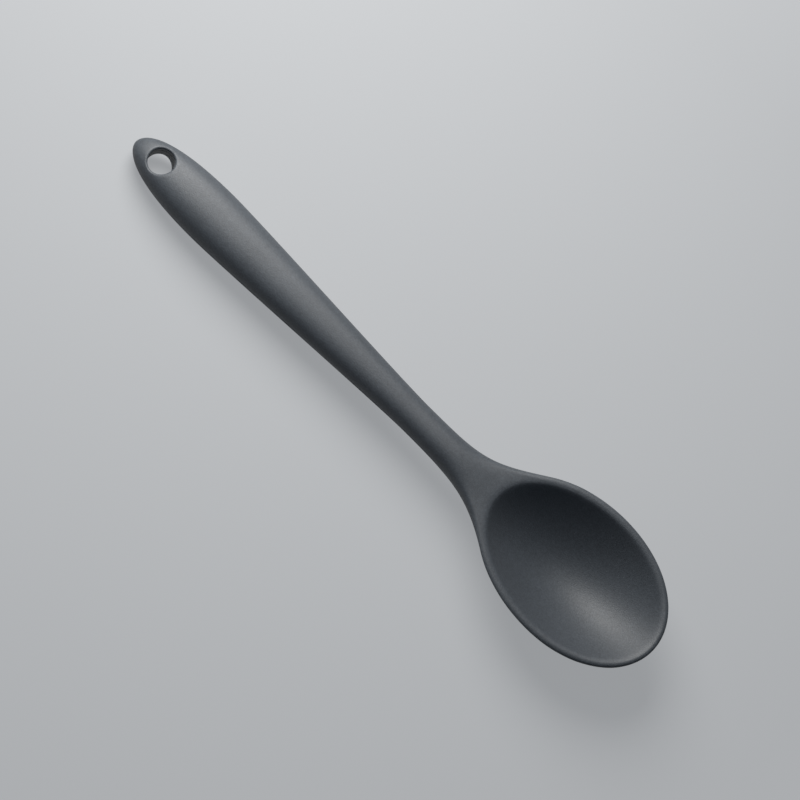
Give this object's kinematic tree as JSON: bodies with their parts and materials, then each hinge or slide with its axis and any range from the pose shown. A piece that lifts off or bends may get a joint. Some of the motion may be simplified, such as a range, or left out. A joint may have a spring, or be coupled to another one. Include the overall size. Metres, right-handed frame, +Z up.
{
  "type": "silicone spoon",
  "caption": "Matte silicone cooking spoon: deep egg-shaped bowl, slim neck, swelling handle with a hanging hole, and a stiff nylon core keyed inside.",
  "frame": {"origin": "middle of the spoon's bounding box, on the plane that it lies on", "axes": "+X along the spoon from the handle end to the tip of the bowl, +Z up, out of the bowl, +Y across"},
  "size_m": [0.27, 0.0564, 0.0247],
  "materials": {
    "silicone": "matte slate-grey moulded silicone",
    "nylon": "dark glass-filled nylon, as moulded"
  },
  "bodies": {
    "root": {"silicone_skin": "silicone", "nylon_core": "nylon"}
  },
  "joints": []
}
